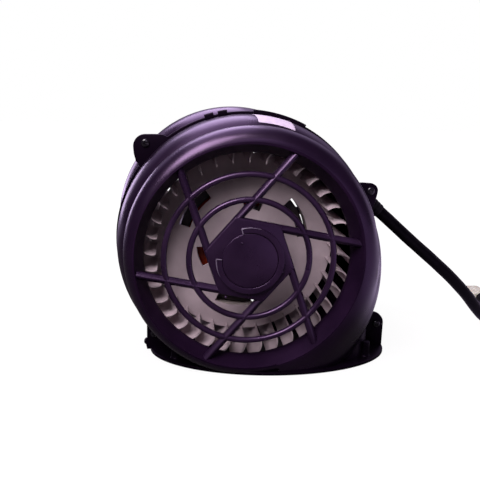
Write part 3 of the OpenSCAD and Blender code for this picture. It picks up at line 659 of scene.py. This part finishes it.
# Strands: ridges across the bundle that weave with the eight coils, over a bundle that bulges at each coil
strand = 0.32 * np.abs(np.sin(16 * s[None, :] + 1.1 * np.sin(coil_count * t[:, None])))
bulge = 0.94 + 0.06 * np.cos(coil_count * t[:, None])
bundle = loop[None] * (bulge + strand / 10 - 0.02)[..., None]
heads = [carried(coil_r * ring + y * rear_way, ring, rear_way, bundle, True) for y in (16.9, 50.1)]
coils = add_piece("coil_heads", together(heads), "housing", copper, 60.0)
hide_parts("stator_windings")


# Wheel. Natural plastic, moulded in one piece: forward-curved blades between two end bands, on a dished
# disc with windows that a brass insert and a nut hold on the shaft.
wheel_plastic = Finish("wheel_plastic", 0.6, Specular_IOR_Level=0.06)
wheel_plastic.mottled(45, (0.42, 0.338, 0.372), (0.50, 0.408, 0.446))
wheel_plastic.polished(60, 0.55, 0.70)
wheel_plastic.grained(wheel_plastic.noise(1100), 0.12, 0.00012)

# Blade: an arc of radius 14 mm, 1.2 mm thick, with both ends rounded off
blade_count, blade_r, blade_thick = 36, 14, 1.2
band_r, band_deep = 101, 48.0
curl = np.radians(np.linspace(100, 0, 20))
out_way = np.stack([np.cos(curl), np.sin(curl)], -1)
middle = np.array([87.4, -13.5]) + blade_r * out_way
half = 0.5 * blade_thick * np.sqrt(np.maximum(1 - np.linspace(-1, 1, 20) ** 8, 0.02))
blade_loop = np.vstack([middle + half[:, None] * out_way, (middle - half[:, None] * out_way)[::-1]])
blade_line = np.linspace(-49.4, 49.4, 9)[:, None] * rear_way
shapes = []
for k in range(blade_count):
    a = np.radians(360 / blade_count * k)
    turned_loop = blade_loop @ np.array([[np.cos(a), np.sin(a)], [-np.sin(a), np.cos(a)]])
    shapes.append(carried(blade_line, right_way, up_way, turned_loop))
ring = round_ways(np.radians(np.arange(0, 360, 1.5)))
for y in (-band_deep, band_deep):
    shapes.append(carried(band_r * ring + y * rear_way, ring, rear_way, box_section(4, 4, 5.0, 24), True))
blades = add_piece("wheel_blades", together(shapes), "fan", wheel_plastic)
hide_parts("impeller")

# A lip stands behind the outer edge of each outer window, slanted at one end. It gets a darker, matte copy of
# the wheel plastic: painted shade for the shade behind the windows, without a glint
shaded_lip_plastic = Finish("shaded_lip_wheel_plastic", 0.8, Specular_IOR_Level=0.0)
shaded_lip_plastic.mottled(45, (0.37, 0.31, 0.30), (0.46, 0.39, 0.38))
outer_windows, inner_windows = (25, 145, 265), (78, 198, 318)
window_lip_r, lip_half_angle = 67.0, 18
lip_turn = np.linspace(-lip_half_angle, lip_half_angle, 40)
lip_depth = np.interp(lip_turn, [-lip_half_angle, 14, 16, lip_half_angle], [26, 26, 9, 8])
lip_section = box_section(1.2, 1.0, 6.0, 28)[None] * np.stack([0 * lip_depth + 1, lip_depth], -1)[:, None, :]
shapes = []
for a in outer_windows:
    ring = round_ways(np.radians(np.linspace(a - lip_half_angle, a + lip_half_angle, 40)))
    lip_line = window_lip_r * ring + (0.1 + 0.5 * lip_depth)[:, None] * rear_way
    shapes.append(carried(lip_line, ring, rear_way, lip_section))
add_piece("window_lips", together(shapes), "fan", shaded_lip_plastic)

# Disc: level outside radius 57 and rising forwards inside it, with a soft bend, as a grid of radius and
# angle. Grid cells inside the window outlines are left out before the disc gets its thickness.
radial = np.unique(np.concatenate([np.linspace(14.5, 90, 52), [36, 46.5, 55, 66]]))
turn_deg = np.arange(0, 360, 1.0)
rr, tt = np.meshgrid(radial, np.radians(turn_deg), indexing="ij")
dish_r, dish_rise, dish_run, bend_width, half_thick = 57, 9.5, 43, 0.6, 1.5
slope = np.maximum(dish_r - rr, 0) * dish_rise / dish_run
forward = half_thick + np.sqrt(slope ** 2 + bend_width) - np.sqrt(bend_width)
points = np.stack([rr * np.cos(tt), -forward, rr * np.sin(tt)], -1).reshape(-1, 3)
faces = quads(len(radial), len(turn_deg), False, True)
mid_r = np.repeat(0.5 * (radial[1:] + radial[:-1]), len(turn_deg))
mid_t = np.tile(turn_deg + 0.5, len(radial) - 1)
window = np.zeros(len(faces), bool)
for places, half_angle, near, far in ((outer_windows, 19, 55, 66), (inner_windows, 13, 36, 46.5)):
    for a in places:
        window |= (np.abs((mid_t - a + 180) % 360 - 180) < half_angle) & (mid_r > near) & (mid_r < far)
disc = add_piece("wheel_disc", (points, faces[~window].tolist()), "fan", wheel_plastic, 50.0, False)
thickened(disc, "disc_thickness", 0.003)
round_edge = disc.modifiers.new("window_edges", "BEVEL")
round_edge.width = 0.0006
round_edge.segments = 2
round_edge.limit_method = "ANGLE"
round_edge.angle_limit = np.radians(60)
round_edge.harden_normals = True
level = np.array([-16.5, -16, -13, -8, -2, 3.5, 4])
sleeve = np.array([14.0, 14.8, 15, 15, 15, 15, 14.5])
add_piece("wheel_hub", round_body(level[:, None] * rear_way, sleeve, right_way, up_way, 60), "fan",
          wheel_plastic)


# Front shell. The other half of the housing in the same plastic, with its own inlet, grille, ears and half
# flange. Two snap hooks on top and four screws through the ears hold it to the rear shell.
front_wall = shell_wall("front_wall", -1, False)
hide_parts("front_shell")
joint_plates("front_joint_rim", -1)
flange_half("front_flange", -1)
inlet_grille("front_grille", -1)
hooks = [joint_arc(a - 2, a + 2, 12, 125.6, -2.5, box_section(5.6, 4.6, 5.0, 28)) for a in (101, 107)]
add_piece("snap_hooks", together(hooks), "housing", shaded_joint_plastic)


# Sticker. A plain pale label of coated paper with nothing on it, stuck over the front shell's shoulder just
# below the joint.
paper = Finish("blank_paper", 0.5, Specular_IOR_Level=0.3)
paper.mottled(220, (0.56, 0.45, 0.63), (0.66, 0.54, 0.72))
paper.grained(paper.noise(2400), 0.15, 0.0001)
# Both edges lean, so the angle runs between two ends that shift with the depth from 14 to 39 mm. The skin
# lies a quarter of a millimetre over the wall, which is straight up to depth 22 and then rounds off.
share, down = np.meshgrid(np.linspace(0, 1, 40), np.linspace(0, 1, 30), indexing="ij")
angle = np.radians(88.5 - 2.0 * down + share * (-15.0 - 1.5 * down))
depth = 14.0 + 25.0 * down
bend = np.maximum(depth - 22, 0)
wall_out = reach(np.stack([np.cos(angle), np.sin(angle)], -1), spiral_middle, spiral_r)
wall_out = wall_out + np.sqrt(shoulder_r ** 2 - bend ** 2) - shoulder_r
skin_r = wall_out + 0.25
skin = np.stack([skin_r * np.cos(angle), -depth - 0.1, skin_r * np.sin(angle)], -1)
label = add_piece("blank_sticker", (skin.reshape(-1, 3), quads(40, 30).tolist()), "housing", paper,
                  60.0, False)
thickened(label, "paper_thickness", 0.00018)


# Screws. Four pan-head tapping screws of black-coated steel that draw the ears of both shells together.
# Each has a domed head with a cross-shaped recess.
dark_screw = metal_finish("black_screw", (0.004, 0.003, 0.005), (0.008, 0.006, 0.010), 0.14, 0.22, 0.0)
# Head: height of a dome over the radius, less the recess, whose walls lean over 0.3 mm
head_r, head_h, head_turn, ear_front = 4.0, 2.3, 0.4, -ear_thick
recess_long, recess_wide, recess_lean, recess_deep = 2.3, 0.65, 0.3, 1.3
rho = np.concatenate([np.linspace(0.02, 0.88, 26) * head_r, np.array([0.93, 0.97, 1.0, 1.0]) * head_r])
t = np.linspace(0, 2 * np.pi, 96, endpoint=False)
rr, tt = np.meshgrid(rho, t, indexing="ij")
dome = head_h * np.sqrt(np.maximum(1 - 0.55 * (rr / head_r) ** 2 - 0.25 * (rr / head_r) ** 8, 0.05))
dome[-1] = 0.0
beside, above = np.abs(rr * np.cos(tt)), np.abs(rr * np.sin(tt))
recess = np.clip((recess_long - np.maximum(beside, above)) / recess_lean, 0, 1)
recess = recess * np.clip((recess_wide - np.minimum(beside, above)) / recess_lean, 0, 1)
height = dome - recess_deep * recess
head_x, head_z = rr * np.cos(tt + head_turn), rr * np.sin(tt + head_turn)
level = np.array([ear_front, 8.0, 9.0])
shank = np.array([2.0, 2.0, 0.8])
shapes = []
for x, z in ((-96.2, 97.3), (126.5, 54.1), (142.5, -86.0), (-88.0, -95.0)):
    head = np.stack([x + head_x, ear_front - height, z + head_z], -1)
    shapes.append((head.reshape(-1, 3), capped(*rr.shape)))
    line = np.stack([0 * level + x, level, 0 * level + z], -1)
    shapes.append(round_body(line, shank, right_way, up_way, 96))
screws = add_piece("pan_screws", together(shapes), "housing", dark_screw)
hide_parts("shell_screws")


# Floor and light. A white floor that runs on into a white surround, a key lamp in front at the upper left and
# a fill lamp behind. Panels that show only in gloss draw the pale bands along the shells, as white cards do.
def reckon(tree, operation, first, second):
    """One step of arithmetic on two numbers or sockets."""
    node = tree.nodes.new("ShaderNodeMath")
    node.operation = operation
    for socket, value in zip(node.inputs, (first, second)):
        if isinstance(value, float):
            socket.default_value = value
        else:
            tree.links.new(value, socket)
    return node.outputs["Value"]


def rising(tree, value, start, end, low, high, kind="SMOOTHSTEP"):
    """A number that goes from low to high as the value goes from start to end."""
    node = tree.nodes.new("ShaderNodeMapRange")
    node.interpolation_type = kind
    for socket, number in zip(("From Min", "From Max", "To Min", "To Max"), (start, end, low, high)):
        node.inputs[socket].default_value = number
    tree.links.new(value, node.inputs["Value"])
    return node.outputs["Result"]


def lilac_in_gloss(tree, glossy, socket):
    """White for the eye, and lilac where it is mirrored."""
    tone = tree.nodes.new("ShaderNodeMix")
    tone.data_type = "RGBA"
    tone.inputs[6].default_value = (1, 1, 1, 1)
    tone.inputs[7].default_value = (0.80, 0.62, 1.0, 1)
    tree.links.new(glossy, tone.inputs[0])
    tree.links.new(tone.outputs[2], socket)


def apart(tree, place):
    """The three numbers of a place or direction."""
    node = tree.nodes.new("ShaderNodeSeparateXYZ")
    tree.links.new(place, node.inputs["Vector"])
    return node.outputs


white = Finish("white_floor", 0.9, Specular_IOR_Level=0.0)
white.shader["Base Color"].default_value = (0.08, 0.075, 0.08, 1)
tree = white.material.node_tree
eye = white.nodes.new("ShaderNodeLightPath").outputs
lilac_in_gloss(tree, eye["Is Glossy Ray"], white.shader["Emission Color"])
# The floor is dark under the flange's oval and grows white outside it, a little more so with the distance
oval = white.nodes.new("ShaderNodeVectorMath")
oval.operation = "MULTIPLY"
oval.inputs[1].default_value = (1000 / flange_half_x, 1000 / flange_half_y, 0)
white.links.new(white.place, oval.inputs[0])
spread = white.nodes.new("ShaderNodeVectorMath")
spread.operation = "LENGTH"
white.links.new(oval.outputs["Vector"], spread.inputs[0])
beyond = rising(tree, spread.outputs["Value"], 0.85, 1.0, 0.0, 0.92, "LINEAR")
distant = rising(tree, spread.outputs["Value"], 1.0, 4.0, 0.0, 0.08, "LINEAR")
# In gloss it shows behind the blower and at its right, and stays dark in front
on_floor = apart(tree, white.place)
behind = rising(tree, on_floor["Y"], 0.2, 0.8, 0.0, 0.5)
at_right = rising(tree, on_floor["X"], 0.12, 0.26, 0.0, 0.85)
mirrored = reckon(tree, "MULTIPLY", eye["Is Glossy Ray"], reckon(tree, "MAXIMUM", behind, at_right))
shown = reckon(tree, "MAXIMUM", eye["Is Camera Ray"], mirrored)
white.links.new(reckon(tree, "MULTIPLY", shown, reckon(tree, "ADD", beyond, distant)),
                white.shader["Emission Strength"])
floor_half, floor_level = 4, -0.0005
floor_corners = [(-floor_half, -floor_half, floor_level), (floor_half, -floor_half, floor_level),
                 (floor_half, floor_half, floor_level), (-floor_half, floor_half, floor_level)]
mesh = bpy.data.meshes.new("floor")
mesh.from_pydata(floor_corners, [], [(0, 1, 2, 3)])
mesh.materials.append(white.material)
floor = bpy.data.objects.new("floor", mesh)
bpy.context.scene.collection.objects.link(floor)


def lamp(name, spot, target, size, power, tint=(1.0, 0.93, 0.97), shows="both"):
    """A square soft lamp at a spot, turned to a target. A panel shows in gloss only, a fill lamp in the
    matt share only."""
    light = bpy.data.lights.new(name, "AREA")
    light.shape = "SQUARE"
    light.size = size
    light.energy = power
    light.color = tint
    body = bpy.data.objects.new(name, light)
    bpy.context.scene.collection.objects.link(body)
    body.visible_diffuse = shows != "gloss"
    body.visible_glossy = shows != "matt"
    aim = np.asarray(spot, float) - np.asarray(target, float)
    aim /= np.linalg.norm(aim)
    right = np.cross(up_way, aim)
    right /= np.linalg.norm(right)
    turned = np.column_stack([right, np.cross(aim, right), aim, spot])
    body.matrix_world = Matrix(turned.tolist() + [[0, 0, 0, 1]])


lilac = (0.84, 0.68, 1.0)
lamp("key_lamp", (-0.50, -0.84, 1.04), (-0.03, 0, 0.10), 0.7, 28)
lamp("left_panel", (-0.90, 1.00, 0.30), (-0.10, 0, 0.12), 0.5, 3.8, lilac, "gloss")
lamp("right_panel", (1.20, 0.30, 0.30), (0.10, 0, 0.10), 0.7, 1.4, lilac, "gloss")
lamp("top_panel", (-0.25, 0.78, 1.22), (-0.03, 0, 0.2), 0.85, 12.5, lilac, "gloss")
lamp("over_panel", (-0.28, 0.04, 1.25), (-0.03, 0, 0.2), 0.8, 4.5, lilac, "gloss")
lamp("front_panel", (0.08, -1.15, 0.68), (-0.03, 0, 0.1), 0.35, 0.9, lilac, "gloss")
lamp("back_fill", (0.45, 1.05, 0.95), (-0.03, 0, 0.1), 0.8, 7, shows="matt")

# The surround is white for the eye and dim otherwise. In gloss it is bright behind and high up only.
world = bpy.data.worlds.new("surround")
bpy.context.scene.world = world
world.use_nodes = True
tree = world.node_tree
sky = tree.nodes["Background"].inputs
eye = tree.nodes.new("ShaderNodeLightPath").outputs
lilac_in_gloss(tree, eye["Is Glossy Ray"], sky["Color"])
heading = apart(tree, tree.nodes.new("ShaderNodeTexCoord").outputs["Generated"])
backdrop = rising(tree, heading["Y"], 0.0, 0.8, 0.03, 1.0)
raised = rising(tree, heading["Z"], 0.15, 0.60, 0.10, 1.0)
mirrored = reckon(tree, "MULTIPLY", eye["Is Glossy Ray"], reckon(tree, "MULTIPLY", raised, backdrop))
shown = reckon(tree, "MAXIMUM", eye["Is Camera Ray"], eye["Is Transmission Ray"])
seen = reckon(tree, "MAXIMUM", shown, mirrored)
tree.links.new(reckon(tree, "MAXIMUM", seen, 0.10), sky["Strength"])
